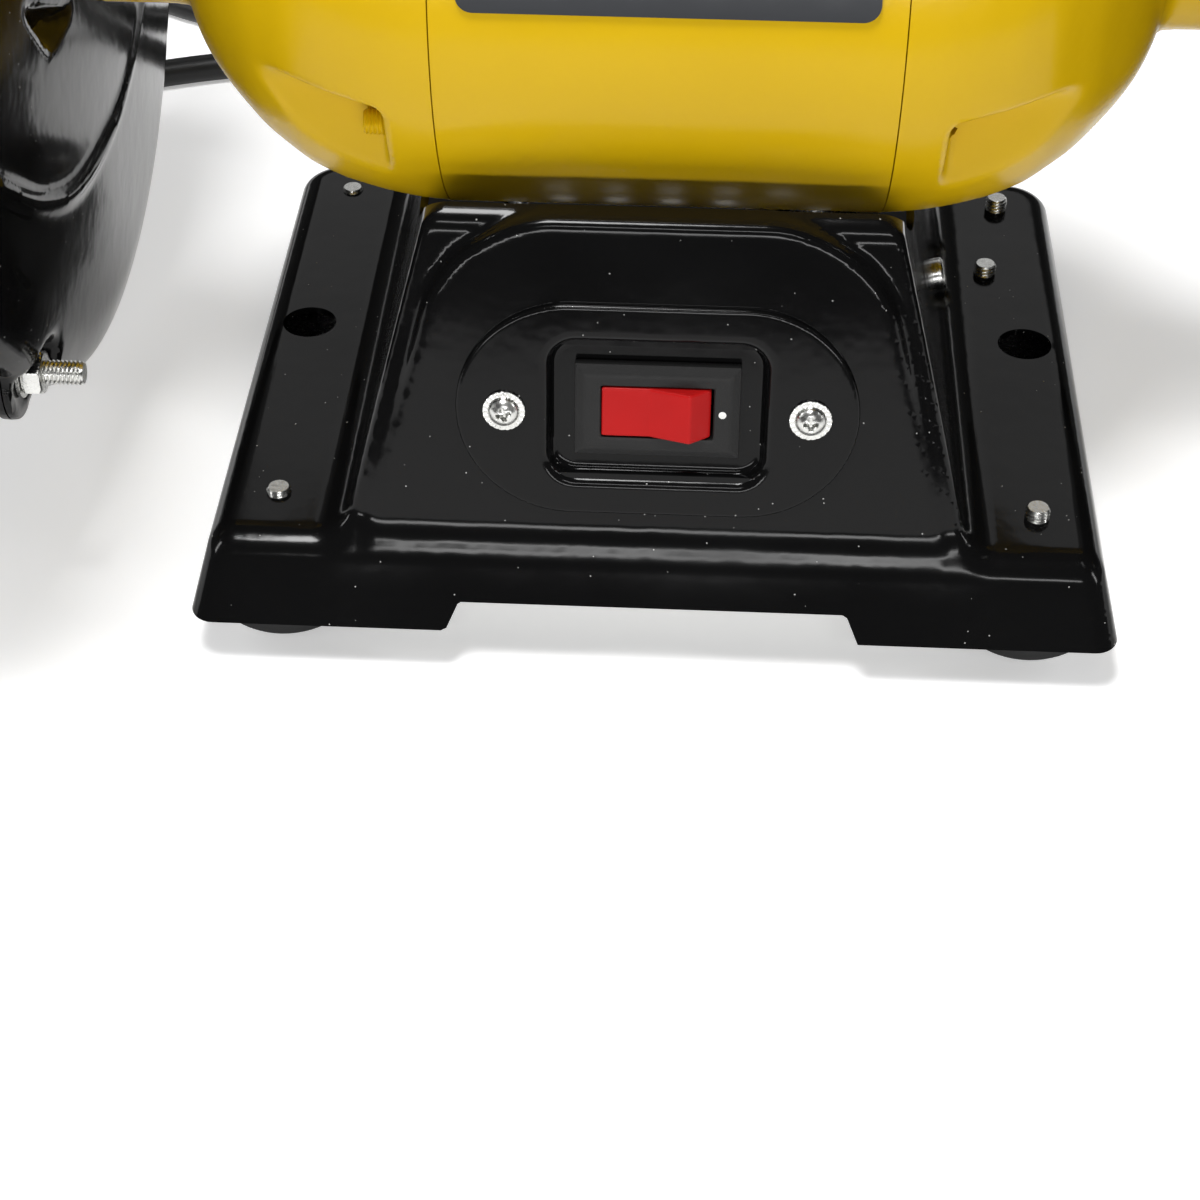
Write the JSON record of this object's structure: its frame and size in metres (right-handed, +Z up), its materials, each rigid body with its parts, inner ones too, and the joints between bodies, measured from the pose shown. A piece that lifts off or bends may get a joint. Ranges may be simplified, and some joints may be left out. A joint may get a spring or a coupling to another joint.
{
  "type": "bench grinder",
  "caption": "Bench grinder: yellow motor on a black pressed base, a shielded grinding wheel at each end, red rocker switch, tool rests, spark arrestors and mains lead.",
  "frame": {"origin": "on the bench top, under the spindle at the middle of the motor and base", "axes": "+X along the spindle to the user's right, +Y to the rear, +Z up"},
  "size_m": [0.4006, 0.3242, 0.2458],
  "materials": {
    "black_enamel": "gloss black enamel",
    "yellow_enamel": "gloss yellow enamel",
    "zinc_steel": "bright zinc plate",
    "bare_steel": "machined, lightly oiled",
    "lamination_steel": "stacked laminations",
    "copper_wire": "varnished winding wire",
    "foot_rubber": "matt black rubber",
    "black_plastic": "fine-textured black plastic",
    "red_plastic": "gloss red plastic",
    "label_plate": "charcoal printed plate",
    "cord_sheath": "black mains lead sheath",
    "stone_coarse": "grey vitrified abrasive, coarse",
    "blotter_paper": "pressed card",
    "clear_shield": "clear polycarbonate",
    "capacitor_case": "off-white plastic can"
  },
  "bodies": {
    "root": {"arrestor_screws": "zinc_steel", "base_pan": "black_enamel", "bearing_outer_rings": "bare_steel", "bottom_cover": "zinc_steel", "bracket_screws": "zinc_steel", "capacitor_clip": "zinc_steel", "clip_screw": "zinc_steel", "cord_coil": "cord_sheath", "cord_gland": "black_plastic", "cord_tie": "black_plastic", "earth_screw": "zinc_steel", "foot_screws": "zinc_steel", "guard_cover_bolts": "zinc_steel", "guard_cover_nuts": "zinc_steel", "guard_screws": "zinc_steel", "left_end_bell": "yellow_enamel", "left_guard": "black_enamel", "left_guard_cover": "black_enamel", "left_shield_bracket": "black_enamel", "left_shield_knob": "black_plastic", "motor_housing": "yellow_enamel", "motor_mount_bolts": "zinc_steel", "name_plate": "label_plate", "plug": "black_plastic", "power_cord": "cord_sheath", "rest_bolts": "black_plastic", "right_end_bell": "yellow_enamel", "right_guard": "black_enamel", "right_guard_cover": "black_enamel", "right_shield_bracket": "black_enamel", "right_shield_knob": "black_plastic", "rubber_feet": "foot_rubber", "run_capacitor": "capacitor_case", "stator_core": "lamination_steel", "stator_windings": "copper_wire", "switch_body": "black_plastic", "switch_plate": "black_enamel", "switch_plate_screws": "zinc_steel", "switch_plate_washers": "zinc_steel", "switch_terminals": "copper_wire", "tie_bolts": "zinc_steel"},
    "spindle": {"spindle": "bare_steel", "rotor_core": "lamination_steel", "bearing_inner_rings": "bare_steel", "left_wheel": "stone_coarse", "right_wheel": "stone_coarse", "left_wheel_flanges": "bare_steel", "right_wheel_flanges": "bare_steel", "left_spindle_nut": "zinc_steel", "right_spindle_nut": "zinc_steel", "wheel_blotters": "blotter_paper"},
    "rocker": {"rocker": "red_plastic"},
    "left_shield": {"left_shield_frame": "black_plastic", "left_shield_lens": "clear_shield"},
    "right_shield": {"right_shield_frame": "black_plastic", "right_shield_lens": "clear_shield"},
    "left_rest": {"left_tool_rest": "black_enamel"},
    "right_rest": {"right_tool_rest": "black_enamel"},
    "left_arrestor": {"left_spark_arrestor": "black_enamel"},
    "right_arrestor": {"right_spark_arrestor": "black_enamel"}
  },
  "joints": [
    {"name": "spindle_spin", "type": "hinge", "parent": "root", "child": "spindle", "pos_m": [0, 0, 0.1224], "axis": [1, 0, 0], "continuous": true},
    {"name": "rocker_tilt", "type": "hinge", "parent": "root", "child": "rocker", "pos_m": [0, -0.06449, 0.05286], "axis": [0, 0.1491, 0.9888], "range_deg": [0, 28]},
    {"name": "left_shield_tilt", "type": "hinge", "parent": "root", "child": "left_shield", "pos_m": [0, -0.048, 0.236], "axis": [1, 0, 0], "range_deg": [-75, 12]},
    {"name": "left_rest_slide", "type": "slide", "parent": "root", "child": "left_rest", "axis": [0, -1, 0], "range_m": [0, 0.012]},
    {"name": "left_arrestor_slide", "type": "slide", "parent": "root", "child": "left_arrestor", "axis": [0, -0.9272, -0.3746], "range_m": [0, 0.008]},
    {"name": "right_shield_tilt", "type": "hinge", "parent": "root", "child": "right_shield", "pos_m": [0, -0.048, 0.236], "axis": [1, 0, 0], "range_deg": [-75, 12]},
    {"name": "right_rest_slide", "type": "slide", "parent": "root", "child": "right_rest", "axis": [0, -1, 0], "range_m": [0, 0.012]},
    {"name": "right_arrestor_slide", "type": "slide", "parent": "root", "child": "right_arrestor", "axis": [0, -0.9272, -0.3746], "range_m": [0, 0.008]}
  ]
}
